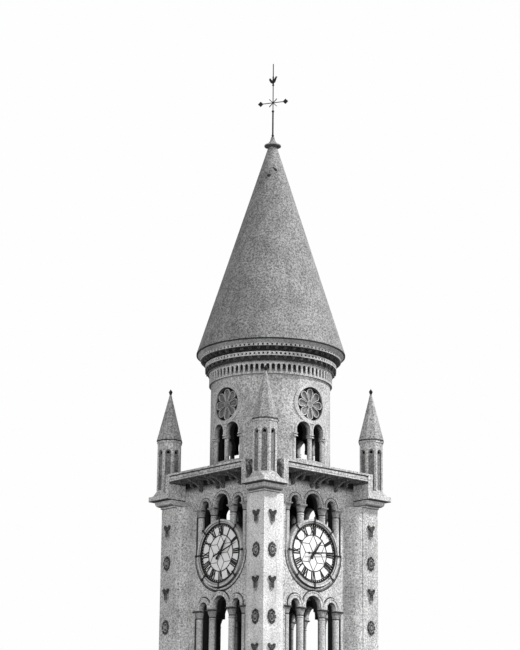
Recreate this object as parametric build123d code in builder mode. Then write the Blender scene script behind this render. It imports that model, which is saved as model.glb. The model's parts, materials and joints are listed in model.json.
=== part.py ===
# Clock tower with a round drum, a conical spire and four corner turrets, in millimetres.
# The origin is at the centre of the base, on the ground, with +Z up.
# The front is at -Y and the right side at +X; every side repeats the front one.
import os
from math import asin, cos, radians, sin, sqrt

from build123d import *

os.makedirs("parts", exist_ok=True)

SIDES = {"front": 0, "right": 90, "back": 180, "left": 270}
CORNERS = {"front_right": 0, "back_right": 90, "back_left": 180, "front_left": 270}

# Plan of one side, from its middle to the corner pier
middle_opening = 890.0
arch_pier = 350.0
side_opening = 490.0
nook_width = 310.0
bay_margin = 305.0
cove_radius = 510.0
pier_width = 890.0
pier_proud = 540.0
wall_thick = 700.0
arcade_thick = 460.0

# Shaft: floors, doorway and slit windows
shaft_height = 8510.0
ground_floor_thick = 150.0
floor_thick = 250.0
shaft_floor_top = 4600.0
belfry_floor_below_sill = 110.0
clock_floor_above_crown = 473.0
door_width = 1300.0
door_spring = 2500.0
door_thick = 80.0
door_inset = 260.0
door_gap = 0.3
slit_width = 420.0
slit_sill_above_floor = 1000.0
slit_height = 1100.0

# Arcades: one wide opening between two narrow ones, on free and nook columns
belfry_jamb_height = 3427.0
stilt_height = 95.0
abacus_height = 70.0
abacus_proud = 30.0
cushion_height = 230.0
neck_height = 100.0
neck_ring_height = 45.0
neck_ring_proud = 22.0
column_diameter = 300.0
column_base_height = 180.0
column_base_proud = 45.0
column_setback = 5.0
nook_ring_proud = 4.0
archivolt_width = 175.0
archivolt_proud = 28.0
label_width = 50.0
label_proud = 55.0
upper_label_width = 70.0

# Clock dial, the stone ring round it and the roll that carries on the nook columns below it
dial_radius = 1260.0
dial_rim_width = 60.0
dial_inner_radius = 785.0
dial_inner_width = 34.0
dial_bar = 24.0
star_bar = 16.0
dial_bar_thick = 16.0
dial_depth = 70.0
dial_back = 60.0
surround_width = 160.0
surround_proud = 90.0
surround_step = 45.0
surround_step_width = 70.0
dial_gap_above_hood = 5.0
roll_radius = 72.0
roll_bite = 20.0
glass_thick = 16.0
arbor_radius = 24.0
arbor_fit = 0.5
hub_radius = 70.0
hand_thick = 14.0
hand_gap = 12.0
minute_reach = 1185.0
minute_tail = 390.0
minute_width = 66.0
hour_reach = 800.0
hour_tail = 330.0
hour_width = 96.0
hand_shoulder = 0.72
hand_shoulder_width = 0.72
hand_tail_radius = 0.8
lug_count = 8
lug_width = 56.0
lug_thick = 30.0
lug_overhang = 50.0
lug_knob_radius = 58.0
lug_lift = 2.0

# Pier caps, from the top of the clock arcade's springing
clock_spring_above_dial = 2096.0
pier_top_above_spring = 80.0
cap_strip_height = 80.0
cap_strip_proud = 42.0
cap_ovolo_height = 250.0
cap_ovolo_radius = 175.0
slab_side = 1208.0
slab_outset = 416.0
slab_thick = 210.0

# Gallery: deck with a moulded edge, cheeks at its ends and brackets under it
deck_above_slab = 528.0
deck_thick = 325.0
coping_height = 85.0
coping_proud = 45.0
deck_fillet_height = 60.0
deck_fillet_proud = 25.0
cheek_thick = 270.0
cheek_on_slab = 92.0
bracket_width = 110.0
bracket_reach = 800.0
bracket_nose = 110.0
large_bracket_drop = 500.0
small_bracket_drop = 235.0
pendant_height = 150.0
pendant_reach = 150.0
pendant_tip = 50.0
large_bracket_places = [-1255.0, -160.0, 160.0, 1255.0]
small_bracket_places = [-1850.0, -700.0, 700.0, 1850.0]

# Corner turrets
turret_radius = 538.0
turret_foot_gap = 8.0
turret_foot_chamfer = 28.0
turret_broach_height = 207.0
turret_height = 2443.0
turret_eave_proud = 30.0
turret_eave_height = 90.0
turret_spire_overhang = 26.0
turret_spire_height = 2126.0
turret_tip_height = 257.0
turret_tip_radius = 85.0
turret_panel_width = 240.0
turret_panel_sill = 47.0
turret_panel_head = 400.0
turret_panel_depth = 45.0
turret_vent_width = 130.0
turret_vent_height = 60.0
turret_vent_depth = 220.0

# Drum, with a pair of windows on columns under a blind rose on each side
drum_radius = 2617.0
drum_thick = 450.0
drum_height = 4039.0
window_width = 680.0
window_pier = 170.0
window_nook = 175.0
drum_nook_gap = 10.0
window_sill_height = 420.0
window_spring_height = 1710.0
window_stilt = 180.0
impost_height = 160.0
impost_fillet = 52.0
impost_proud = 60.0
impost_side = 35.0
drum_column_diameter = 205.0
drum_column_setback = 25.0
drum_hood_width = 75.0
drum_hood_proud = 35.0
rose_below_top = 1159.0
rose_radius = 730.0
rose_depth = 210.0
rose_ring_width = 155.0
rose_petals = 8
petal_at = 505.0
petal_radius = 172.0
petal_rim = 32.0
petal_thick = 130.0
petal_sink = 60.0
rose_boss_radius = 125.0

# Cornice under the spire
band_height = 522.0
band_radius = 2630.0
tracery_radius = 2704.0
tracery_arches = 72
tracery_arch_width = 150.0
tracery_foot = 85.0
tracery_head = 90.0
tracery_dot = 40.0
strip_holes = 96
strip_hole = 78.0
strip_thick = 110.0
frieze_gap = 227.0
recess_radius = 2780.0
lower_strip_height = 181.0
strip_gap = 201.0
upper_strip_height = 110.0
upper_strip_radius = 3097.0
cavetto_height = 145.0

# Spire and its top
eave_radius = 3284.0
eave_edge = 60.0
eave_overhang = 70.0
spire_height = 9795.0
spire_top_radius = 210.0
spire_thick = 180.0
spire_solid_top = 700.0
cap_stone_radius = 378.0
cap_stone_foot = 78.0
cap_stone_edge = 50.0
cap_stone_height = 392.0
cap_stone_bell = 420.0
mast_radius = 36.0
mast_upper_radius = 22.0
mast_lower_height = 1274.0
knob_radius = 85.0
bead_radius = 60.0
cross_above_step = 419.0
cross_reach = 730.0
cross_bar = 30.0
cross_leaf = 130.0
cross_ray = 260.0
cross_angle = 28.0
vane_above_cross = 867.0
vane_sleeve_height = 420.0
vane_sleeve_radius = 36.0
vane_fit = 0.5
vane_thick = 16.0
vane_length = 560.0
vane_gap = 0.3
vane_collar_radius = 50.0
vane_collar_height = 24.0
mast_above_vane = 620.0

# Places across the tower, worked out from the sizes above
column_at = (middle_opening + arch_pier) / 2
side_arch_at = middle_opening / 2 + arch_pier + side_opening / 2
jamb_inner = side_arch_at + side_opening / 2
nook_column_at = jamb_inner + nook_width / 2
jamb_edge = jamb_inner + nook_width
bay_half = jamb_edge + bay_margin
pier_in = bay_half + cove_radius
pier_out = pier_in + pier_width
wall_half = pier_out - pier_proud
wall_inner = wall_half - wall_thick
arcade_inner = wall_half - arcade_thick
slab_out = pier_out + slab_outset
slab_in = slab_out - slab_side
turret_centre = slab_out - slab_side / 2
cheek_out = slab_in + cheek_on_slab
cheek_in = cheek_out - cheek_thick
surround_radius = dial_radius + surround_width
drum_inner = drum_radius - drum_thick
nook_depth = nook_width

# Heights above the ground, each carried by the one below it
belfry_abacus_top = shaft_height + belfry_jamb_height
belfry_spring = belfry_abacus_top + stilt_height
belfry_crown = belfry_spring + middle_opening / 2
clock_floor_top = belfry_crown + clock_floor_above_crown
dial_height = belfry_crown + archivolt_width + dial_gap_above_hood + jamb_edge
clock_spring = dial_height + clock_spring_above_dial
clock_abacus_top = clock_spring - stilt_height
pier_top = clock_spring + pier_top_above_spring
cap_strip_top = pier_top + cap_strip_height
slab_bottom = cap_strip_top + cap_ovolo_height
slab_top = slab_bottom + slab_thick
wall_top = slab_top + deck_above_slab
deck_top = wall_top + deck_thick
turret_shaft_bottom = slab_top + turret_broach_height
turret_eave = slab_top + turret_height
turret_spire_top = turret_eave + turret_spire_height
turret_tip_top = turret_spire_top + turret_tip_height
drum_top = deck_top + drum_height
window_sill = deck_top + window_sill_height
window_spring = deck_top + window_spring_height
impost_top = window_spring - window_stilt
rose_height = drum_top - rose_below_top
band_top = drum_top + band_height
lower_strip_bottom = band_top + frieze_gap
lower_strip_top = lower_strip_bottom + lower_strip_height
upper_strip_bottom = lower_strip_top + strip_gap
upper_strip_top = upper_strip_bottom + upper_strip_height
eave_height = upper_strip_top + cavetto_height
spire_top = eave_height + spire_height
cap_stone_rim = spire_top + cap_stone_foot + cap_stone_edge
cap_stone_top = cap_stone_rim + cap_stone_height
mast_step = cap_stone_top + mast_lower_height
cross_height = mast_step + cross_above_step
vane_rest = cross_height + vane_above_cross
vane_top = vane_rest + vane_sleeve_height
mast_top = vane_top + mast_above_vane


def side_plane(turn, out, height=0.0):
    """A plane parallel to one side of the tower, facing outward."""
    angle = radians(turn)
    outward = Vector(sin(angle), -cos(angle), 0)
    return Plane(
        origin=outward * out + Vector(0, 0, height),
        x_dir=(cos(angle), sin(angle), 0),
        z_dir=outward,
    )


def save(piece, label):
    """Write one finished piece to its own file."""
    piece.part.label = label
    export_step(piece.part, f"parts/{label}.step")


def turned(piece, turn):
    """The same piece, made for the front, at another side or corner."""
    with BuildPart() as copy:
        add(piece.part.rotate(Axis.Z, turn))
    return copy


def on_each_corner(piece):
    """Four copies of a piece made for the front right corner."""
    with BuildPart() as copies:
        for turn in CORNERS.values():
            add(piece.part.rotate(Axis.Z, turn))
    return copies


def on_each_side(piece):
    """Four copies of a piece made for the front."""
    with BuildPart() as copies:
        for turn in SIDES.values():
            add(piece.part.rotate(Axis.Z, turn))
    return copies


def arched_shape(middle, width, bottom, spring):
    """Add a round-arched opening to the sketch being drawn."""
    with Locations((middle, (bottom + spring) / 2)):
        Rectangle(width, spring - bottom)
    with Locations((middle, spring)):
        Circle(width / 2)


def arcade_shape(foot, spring, grown=0.0):
    """Add the three arches of an arcade to the sketch, grown by a width all round."""
    arched_shape(0, middle_opening + 2 * grown, foot, spring)
    for middle in (-side_arch_at, side_arch_at):
        arched_shape(middle, side_opening + 2 * grown, foot, spring)


# Corner piers, coved into the walls beside them
def pier_outline():
    """Draw the plan of the front right pier, coved into the two walls beside it."""
    cove_end = wall_half + cove_radius
    with BuildLine() as outline:
        Polyline(
            (pier_in, -cove_end),
            (pier_in, -pier_out),
            (pier_out, -pier_out),
            (pier_out, -pier_in),
            (cove_end, -pier_in),
        )
        RadiusArc((cove_end, -pier_in), (wall_half, -bay_half), -cove_radius)
        Polyline(
            (wall_half, -bay_half),
            (wall_inner, -bay_half),
            (wall_inner, -wall_inner),
            (bay_half, -wall_inner),
            (bay_half, -wall_half),
        )
        RadiusArc((bay_half, -wall_half), (pier_in, -cove_end), -cove_radius)
    make_face(outline.edges())


def corner_block(side):
    """Add a square at the front right corner of the walls to the sketch."""
    with Locations((wall_half - side / 2, side / 2 - wall_half)):
        Rectangle(side, side)


with BuildPart() as corner_pier:
    with BuildSketch(Plane.XY):
        pier_outline()
    extrude(amount=pier_top)
    with BuildSketch(Plane.XY.offset(pier_top)):
        corner_block(wall_half - bay_half)
        with Locations(((bay_half + wall_inner) / 2, -(bay_half + wall_inner) / 2)):
            Rectangle(wall_inner - bay_half, wall_inner - bay_half, mode=Mode.SUBTRACT)
    extrude(amount=wall_top - pier_top)

for corner, turn in CORNERS.items():
    save(turned(corner_pier, turn), f"{corner}_pier")


# Plain walls of the shaft, with a slit window in each and the doorway in front
def wall_slab(low, high, bottom, top, thick):
    """Add a piece of the front wall between two distances along it and two heights."""
    with BuildSketch(side_plane(0, wall_half)) as outline:
        with Locations(((low + high) / 2, (bottom + top) / 2)):
            Rectangle(high - low, top - bottom)
    extrude(outline.sketch, amount=-thick)


def cut_through(opening):
    """Cut a shape drawn on the front wall's face right through it."""
    extrude(opening.sketch, amount=-wall_thick, mode=Mode.SUBTRACT)


def slit_shape():
    sill = shaft_floor_top + slit_sill_above_floor
    arched_shape(0, slit_width, sill, sill + slit_height)


with BuildPart() as shaft_wall:
    wall_slab(-bay_half, bay_half, 0, shaft_height, wall_thick)
    with BuildSketch(side_plane(0, wall_half)) as slit:
        slit_shape()
    cut_through(slit)

for side, turn in SIDES.items():
    if side != "front":
        save(turned(shaft_wall, turn), f"{side}_shaft_wall")

with BuildPart() as front_wall_left:
    wall_slab(-bay_half, -door_width / 2, 0, door_spring, wall_thick)
save(front_wall_left, "front_wall_left")

with BuildPart() as front_wall_right:
    wall_slab(door_width / 2, bay_half, 0, door_spring, wall_thick)
save(front_wall_right, "front_wall_right")

with BuildPart() as front_wall_over_door:
    wall_slab(-bay_half, bay_half, door_spring, shaft_height, wall_thick)
    with BuildSketch(side_plane(0, wall_half)) as front_holes:
        arched_shape(0, door_width, 0, door_spring)
        slit_shape()
    cut_through(front_holes)
save(front_wall_over_door, "front_wall_over_door")

with BuildPart() as door_leaf:
    with BuildSketch(side_plane(0, wall_half - door_inset)):
        arched_shape(0, door_width - 2 * door_gap, ground_floor_thick, door_spring)
    extrude(amount=-door_thick)
save(door_leaf, "door_leaf")


# Floors inside the tower, notched round the inner corners of the piers
def floor_slab(top, thick, reach):
    with BuildPart() as slab:
        with BuildSketch(Plane.XY.offset(top - thick)):
            Rectangle(2 * wall_inner, 2 * bay_half)
            Rectangle(2 * bay_half, 2 * wall_inner)
            Rectangle(2 * reach, 2 * bay_half)
            Rectangle(2 * bay_half, 2 * reach)
        extrude(amount=thick)
    return slab


with BuildPart() as ground_floor:
    add(floor_slab(ground_floor_thick, ground_floor_thick, wall_inner).part)
    with BuildSketch(Plane.XY):
        with Locations((0, -(wall_half + wall_inner) / 2)):
            Rectangle(door_width, wall_thick)
    extrude(amount=ground_floor_thick)
save(ground_floor, "ground_floor")
save(floor_slab(shaft_floor_top, floor_thick, wall_inner), "shaft_floor")
save(floor_slab(shaft_height - belfry_floor_below_sill, floor_thick, wall_inner), "belfry_floor")
save(floor_slab(clock_floor_top, floor_thick, arcade_inner), "clock_floor")


# Upper walls: open belfry arcade below, clock and small arcade above
def add_hood(foot, spring, width, proud, face):
    """Add a band round the heads of an arcade, standing proud of the wall."""
    with BuildSketch(face) as band:
        arcade_shape(foot, spring, width)
    extrude(band.sketch, amount=proud)


def add_label(foot, spring, width, thick, proud, face):
    """Add the narrow moulding along the outer edge of a hood."""
    with BuildSketch(face) as label:
        arcade_shape(foot, spring, width)
        with BuildSketch(face, mode=Mode.PRIVATE) as inside:
            arcade_shape(foot, spring, width - thick)
        add(inside.sketch, mode=Mode.SUBTRACT)
    extrude(label.sketch, amount=proud)


def cut_arcade(bottom, abacus_top, spring, face):
    """Cut an arcade's arches through the wall, with the room of its columns and their nooks."""
    with BuildSketch(face) as open_part:
        arcade_shape(abacus_top, spring)
        with Locations((0, (bottom + abacus_top) / 2)):
            Rectangle(2 * jamb_inner, abacus_top - bottom)
    extrude(open_part.sketch, amount=label_proud, mode=Mode.SUBTRACT)
    extrude(open_part.sketch, amount=-arcade_thick, mode=Mode.SUBTRACT)
    with BuildSketch(face) as nooks:
        with Locations((0, (bottom + abacus_top) / 2)):
            Rectangle(2 * jamb_edge, abacus_top - bottom)
    extrude(nooks.sketch, amount=label_proud, mode=Mode.SUBTRACT)
    extrude(nooks.sketch, amount=-nook_depth, mode=Mode.SUBTRACT)


front_face = side_plane(0, wall_half)
roll_at = (surround_radius + jamb_edge) / 2
roll_recess = 2 * roll_radius - roll_bite
with BuildPart() as clock_wall:
    wall_slab(-bay_half, bay_half, shaft_height, wall_top, arcade_thick)
    add_hood(belfry_abacus_top, belfry_spring, archivolt_width, archivolt_proud, front_face)
    add_label(belfry_abacus_top, belfry_spring, archivolt_width, label_width, label_proud, front_face)
    add_label(clock_abacus_top, clock_spring, upper_label_width, label_width, archivolt_proud, front_face)
    cut_arcade(shaft_height, belfry_abacus_top, belfry_spring, front_face)
    cut_arcade(dial_height, clock_abacus_top, clock_spring, front_face)
    with BuildSketch(front_face) as roll_bed:
        with Locations((0, dial_height)):
            Circle(jamb_edge)
    extrude(roll_bed.sketch, amount=-roll_recess, mode=Mode.SUBTRACT)
    with BuildSketch(front_face) as dial_hole:
        with Locations((0, dial_height)):
            Circle(surround_radius)
    extrude(dial_hole.sketch, amount=-arcade_thick, mode=Mode.SUBTRACT)
    with BuildSketch(Plane.XY.offset(dial_height)) as roll:
        with Locations((roll_at, roll_radius - wall_half)):
            Circle(roll_radius)
    revolve(roll.sketch, axis=Axis((0, 0, dial_height), (0, 1, 0)), revolution_arc=180)

for side, turn in SIDES.items():
    save(turned(clock_wall, turn), f"{side}_clock_wall")


# Arcade columns: a turned shaft with base and ring, a cushion capital and a square abacus
def column(along, bottom, abacus_top, width, depth, base_proud, ring_proud):
    """Add one column of the front arcades to the part being built."""
    radius = column_diameter / 2
    cushion_top = abacus_top - abacus_height
    cushion_bottom = cushion_top - cushion_height
    ring_top = cushion_bottom - neck_height
    axis_out = wall_half - column_setback - radius
    with BuildSketch(side_plane(0, axis_out)) as profile:
        with BuildLine() as turning:
            Polyline(
                (along, bottom),
                (along + radius + base_proud, bottom),
                (along + radius + base_proud, bottom + column_base_height / 2),
                (along + radius, bottom + column_base_height),
                (along + radius, ring_top - neck_ring_height),
                (along + radius + ring_proud, ring_top - neck_ring_height / 2),
                (along + radius, ring_top),
                (along + radius, cushion_bottom),
                (along, cushion_bottom),
                close=True,
            )
        make_face(turning.edges())
    revolve(profile.sketch, axis=Axis((along, -axis_out, 0), (0, 0, 1)))
    with BuildSketch(Plane.XY.offset(cushion_bottom)) as neck:
        with Locations((along, -axis_out)):
            Circle(radius)
    with BuildSketch(Plane.XY.offset(cushion_top)) as head:
        with Locations((along, -axis_out)):
            Rectangle(width - 2 * column_setback, column_diameter)
    loft([neck.sketch, head.sketch])
    with BuildSketch(Plane.XY.offset(cushion_top)) as abacus:
        with Locations((along, (depth - abacus_proud) / 2 - wall_half)):
            Rectangle(width, depth + abacus_proud)
    extrude(abacus.sketch, amount=abacus_height)


def column_pair(bottom, abacus_top, base_proud):
    """Add the two free columns and the two nook columns of one arcade."""
    for sign in (-1, 1):
        free_at = sign * column_at
        nook_at = sign * nook_column_at
        column(free_at, bottom, abacus_top, arch_pier, arcade_thick, base_proud, neck_ring_proud)
        column(nook_at, bottom, abacus_top, nook_width, nook_depth, 0, nook_ring_proud)


with BuildPart() as side_belfry_columns:
    column_pair(shaft_height, belfry_abacus_top, column_base_proud)
save(on_each_side(side_belfry_columns), "belfry_columns")

with BuildPart() as side_clock_columns:
    column_pair(dial_height, clock_abacus_top, 0)
    with BuildSketch(front_face) as ring_room:
        with Locations((0, dial_height)):
            Circle(surround_radius)
    extrude(ring_room.sketch, amount=-arcade_thick, mode=Mode.SUBTRACT)
save(on_each_side(side_clock_columns), "clock_columns")


# Clocks: stepped stone ring, iron dial with its star of bars and lugs, glass and hands
with BuildPart() as surround:
    front = wall_half + surround_proud
    with BuildSketch(Plane.XY.offset(dial_height)):
        with BuildLine():
            Polyline(
                (dial_radius, -arcade_inner),
                (dial_radius, surround_step - front),
                (dial_radius + surround_step_width, surround_step - front),
                (dial_radius + surround_step_width, -front),
                (surround_radius, -front),
                (surround_radius, -arcade_inner),
                close=True,
            )
        make_face()
    revolve(axis=Axis((0, 0, dial_height), (0, 1, 0)))
save(on_each_side(surround), "clock_surrounds")

dial_front = wall_half + dial_back
bar_front = dial_front - dial_depth + dial_bar_thick
hour_hand_out = dial_front + hand_gap
minute_hand_out = hour_hand_out + hand_thick + hand_gap
arbor_end = minute_hand_out + hand_thick + hand_gap
lug_front = wall_half + surround_proud + lug_lift + lug_thick
lug_end = surround_radius + lug_overhang
star_side = (dial_inner_radius - dial_inner_width / 2) / sqrt(3)
with BuildPart() as dial_frame:
    with BuildSketch(side_plane(0, dial_front)):
        with Locations((0, dial_height)):
            Circle(dial_radius)
            Circle(dial_radius - dial_rim_width, mode=Mode.SUBTRACT)
    extrude(amount=-dial_depth)
    with BuildSketch(side_plane(0, bar_front)):
        with Locations((0, dial_height)):
            Circle(dial_inner_radius)
            Circle(dial_inner_radius - dial_inner_width, mode=Mode.SUBTRACT)
            Circle(hub_radius)
            with PolarLocations((dial_inner_radius + dial_radius - dial_rim_width) / 2, 12):
                Rectangle(dial_radius - dial_inner_radius - dial_rim_width / 2, dial_bar)
            with PolarLocations(star_side / 2, 6):
                Rectangle(star_side, star_bar)
            for lean in (-60, 60):
                with PolarLocations(star_side, 6):
                    with Locations(Location((0, 0, 0), (0, 0, lean))):
                        with Locations((star_side / 2, 0)):
                            Rectangle(star_side, star_bar)
    extrude(amount=-dial_bar_thick)
    with BuildSketch(side_plane(0, bar_front)):
        with Locations((0, dial_height)):
            Circle(arbor_radius)
    extrude(amount=arbor_end - bar_front)
    with BuildSketch(side_plane(0, dial_front)):
        with Locations((0, dial_height)):
            with PolarLocations(dial_radius - dial_rim_width / 2, lug_count, start_angle=90):
                Rectangle(dial_rim_width - lug_lift, lug_width)
    extrude(amount=lug_front - dial_front)
    with BuildSketch(side_plane(0, lug_front)):
        with Locations((0, dial_height)):
            with PolarLocations((dial_radius - dial_rim_width / 2 + lug_end) / 2, lug_count, start_angle=90):
                Rectangle(lug_end - dial_radius + dial_rim_width / 2, lug_width)
            with PolarLocations(lug_end, lug_count, start_angle=90):
                Circle(lug_knob_radius)
    extrude(amount=-lug_thick)

for side, turn in SIDES.items():
    save(turned(dial_frame, turn), f"{side}_dial_frame")

with BuildPart() as glass:
    with BuildSketch(side_plane(0, dial_front - dial_depth)):
        with Locations((0, dial_height)):
            Circle(dial_radius - dial_rim_width / 2)
    extrude(amount=-glass_thick)
save(on_each_side(glass), "dial_glasses")


def hand(out, clock_angle, reach, tail, width):
    """A tapered hand with a rounded counterweight, set at an angle from twelve."""
    angle = radians(clock_angle)
    across = (cos(angle), 0, -sin(angle))
    shoulder = hand_shoulder_width * width / 2
    weight_radius = hand_tail_radius * width
    with BuildPart() as piece:
        with BuildSketch(Plane((0, -out, dial_height), x_dir=across, z_dir=(0, -1, 0))):
            with BuildLine():
                Polyline(
                    (-width / 2, 0),
                    (-shoulder, reach * hand_shoulder),
                    (0, reach),
                    (shoulder, reach * hand_shoulder),
                    (width / 2, 0),
                    (shoulder, weight_radius - tail),
                    (-shoulder, weight_radius - tail),
                    close=True,
                )
            make_face()
            Circle(hub_radius)
            with Locations((0, weight_radius - tail)):
                Circle(weight_radius)
            Circle(arbor_radius + arbor_fit, mode=Mode.SUBTRACT)
        extrude(amount=hand_thick)
    return piece


degrees_each_minute = 6
minutes_past_twelve = {"front": 72, "right": 74, "back": 73, "left": 72}
for side, turn in SIDES.items():
    minute_angle = minutes_past_twelve[side] * degrees_each_minute
    minute_hand = hand(minute_hand_out, minute_angle, minute_reach, minute_tail, minute_width)
    save(turned(minute_hand, turn), f"{side}_minute_hand")
    hour_hand = hand(hour_hand_out, minute_angle / 12, hour_reach, hour_tail, hour_width)
    save(turned(hour_hand, turn), f"{side}_hour_hand")


# Gallery: deck with a moulded edge, cheeks at its ends and curved brackets under it
def deck_outline(proud):
    """Draw the deck: the top of the walls and a wing out to each side."""
    Rectangle(2 * wall_half, 2 * wall_half)
    Rectangle(2 * cheek_in, 2 * (slab_out - coping_proud + proud))
    Rectangle(2 * (slab_out - coping_proud + proud), 2 * cheek_in)


with BuildPart() as gallery_deck:
    with BuildSketch(Plane.XY.offset(wall_top)):
        deck_outline(0)
    extrude(amount=deck_thick)
    with BuildSketch(Plane.XY.offset(wall_top)):
        deck_outline(deck_fillet_proud)
    extrude(amount=deck_fillet_height)
    with BuildSketch(Plane.XY.offset(deck_top - coping_height)):
        deck_outline(coping_proud)
    extrude(amount=coping_height)
save(gallery_deck, "gallery_deck")

with BuildPart() as side_cheeks:
    for sign in (-1, 1):
        with BuildSketch(side_plane(0, slab_out)):
            with Locations((sign * (cheek_in + slab_in) / 2, (slab_bottom + deck_top) / 2)):
                Rectangle(slab_in - cheek_in, deck_top - slab_bottom)
            with Locations((sign * (slab_in + cheek_out) / 2, (slab_top + deck_top) / 2)):
                Rectangle(cheek_out - slab_in, deck_top - slab_top)
        extrude(amount=wall_half - slab_out)
save(on_each_side(side_cheeks), "gallery_cheeks")


def bracket(along, drop):
    """Add one curved bracket with a pendant foot under the front of the gallery."""
    side_on = Plane((along + bracket_width / 2, -wall_half, wall_top), x_dir=(0, -1, 0), z_dir=(-1, 0, 0))
    arc_foot = pendant_height - drop
    with BuildSketch(side_on) as outline:
        with BuildLine() as edge:
            Polyline(
                (pendant_reach, arc_foot),
                (pendant_reach, pendant_tip - drop),
                (0, -drop),
                (0, 0),
                (bracket_reach, 0),
                (bracket_reach, -bracket_nose),
            )
            RadiusArc((bracket_reach, -bracket_nose), (pendant_reach, arc_foot), -bracket_reach)
        make_face(edge.edges())
    extrude(outline.sketch, amount=bracket_width)


with BuildPart() as side_brackets:
    for along in large_bracket_places:
        bracket(along, large_bracket_drop)
    for along in small_bracket_places:
        bracket(along, small_bracket_drop)
save(on_each_side(side_brackets), "gallery_brackets")


# Pier caps: strip, quarter-round and square slab, notched round the corner of the walls
def cut_wall_corner(bottom, top):
    """Cut the room that the corner of the walls takes from a corner piece."""
    with BuildSketch(Plane.XY.offset(bottom)) as corner:
        corner_block(wall_half)
    extrude(corner.sketch, amount=top - bottom, mode=Mode.SUBTRACT)


def corner_square(low, high):
    """Add a square to the sketch, between two distances from both middle planes of the tower."""
    with Locations(((low + high) / 2, -(low + high) / 2)):
        Rectangle(high - low, high - low)


with BuildPart() as quarter_round:
    with BuildSketch(Plane.XY.offset(cap_strip_top)):
        corner_square(pier_in, pier_out + cap_strip_proud + cap_ovolo_radius)
    extrude(amount=cap_ovolo_height)
    lowest = quarter_round.edges().group_by(Axis.Z)[0]
    fillet([lowest.sort_by(Axis.X)[-1], lowest.sort_by(Axis.Y)[0]], radius=cap_ovolo_radius)

with BuildPart() as pier_cap:
    with BuildSketch(Plane.XY.offset(pier_top)):
        corner_square(pier_in, pier_out + cap_strip_proud)
    extrude(amount=cap_strip_height)
    add(quarter_round.part)
    with BuildSketch(Plane.XY.offset(slab_bottom)):
        corner_square(slab_in, slab_out)
    extrude(amount=slab_thick)
    cut_wall_corner(pier_top, slab_top)
save(on_each_corner(pier_cap), "pier_caps")


# Corner turrets: broached octagonal bodies with arched panels, spires and iron tips
half_turn = 360 / 16
octagon_half = turret_radius * cos(radians(half_turn))
octagon_corner = octagon_half - turret_radius * sin(radians(half_turn))
foot_half = turret_centre - cheek_out - turret_foot_gap
panel_bottom = turret_shaft_bottom + turret_panel_sill
panel_spring = turret_eave - turret_panel_head - turret_panel_width / 2
turret_at = (turret_centre, -turret_centre)


def octagon_sketch(height, radius):
    with BuildSketch(Plane.XY.offset(height)) as octagon:
        with Locations(turret_at):
            RegularPolygon(radius, 8, rotation=half_turn)
    return octagon.sketch


with BuildPart() as turret_body:
    with BuildSketch(Plane.XY.offset(slab_top)) as foot:
        with Locations(turret_at):
            Rectangle(2 * foot_half, 2 * foot_half)
        chamfer(foot.vertices(), turret_foot_chamfer)
    with BuildSketch(Plane.XY.offset(turret_shaft_bottom)) as broach_top:
        with Locations(turret_at):
            Rectangle(2 * octagon_half, 2 * octagon_half)
        chamfer(broach_top.vertices(), octagon_corner)
    loft([foot.sketch, broach_top.sketch])
    extrude(octagon_sketch(turret_shaft_bottom, turret_radius), amount=turret_eave - turret_shaft_bottom)
    eave_bottom = turret_eave - turret_eave_height
    extrude(octagon_sketch(eave_bottom, turret_radius + turret_eave_proud), amount=turret_eave_height)
    for turn in range(0, 360, 45):
        outward = Vector(sin(radians(turn)), -cos(radians(turn)), 0)
        middle = Vector(turret_centre, -turret_centre, 0) + outward * octagon_half
        panel_face = Plane(middle, x_dir=(cos(radians(turn)), sin(radians(turn)), 0), z_dir=outward)
        with BuildSketch(panel_face) as panel:
            arched_shape(0, turret_panel_width, panel_bottom, panel_spring)
        extrude(panel.sketch, amount=-turret_panel_depth, mode=Mode.SUBTRACT)
        with BuildSketch(panel_face) as vent:
            arched_shape(0, turret_vent_width, panel_spring - turret_vent_height, panel_spring)
        extrude(vent.sketch, amount=-turret_vent_depth, mode=Mode.SUBTRACT)
    cut_wall_corner(slab_top, deck_top)
save(on_each_corner(turret_body), "turret_bodies")

with BuildPart() as turret_spire:
    foot = octagon_sketch(turret_eave, turret_radius + turret_eave_proud + turret_spire_overhang)
    loft([foot, octagon_sketch(turret_spire_top, turret_tip_radius / 2)])
save(on_each_corner(turret_spire), "turret_spires")

with BuildPart() as turret_tip:
    with BuildSketch(Plane.XZ.offset(turret_centre)):
        with BuildLine():
            Polyline(
                (turret_centre, turret_spire_top),
                (turret_centre + turret_tip_radius / 2, turret_spire_top),
                (turret_centre + turret_tip_radius, (turret_spire_top + turret_tip_top) / 2),
                (turret_centre, turret_tip_top),
                close=True,
            )
        make_face()
    revolve(axis=Axis((turret_centre, -turret_centre, 0), (0, 0, 1)))
save(on_each_corner(turret_tip), "turret_tips")


# Round drum in four segments, each with two windows on columns under a blind rose
window_at = (window_pier + window_width) / 2
window_edge = window_pier / 2 + window_width
drum_nook_edge = window_edge + window_nook
drum_column_radius = drum_column_diameter / 2
middle_column_out = drum_radius - drum_column_setback - drum_column_radius
drum_nook_x = drum_nook_edge - drum_column_radius - drum_nook_gap
nook_column_out = sqrt(drum_radius**2 - drum_nook_x**2) - drum_column_radius
nook_back_out = nook_column_out - drum_column_radius - drum_column_setback


def windows_shape(foot, grown=0.0):
    """Add the heads of the pair of windows to the sketch, grown by a width all round."""
    for middle in (-window_at, window_at):
        arched_shape(middle, window_width + 2 * grown, foot, window_spring)


def drum_shell(bottom, height, inner, outer):
    """Add a round wall to the part being built."""
    with BuildSketch(Plane.XY.offset(bottom)) as ring:
        Circle(outer)
        Circle(inner, mode=Mode.SUBTRACT)
    extrude(ring.sketch, amount=height)


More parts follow.
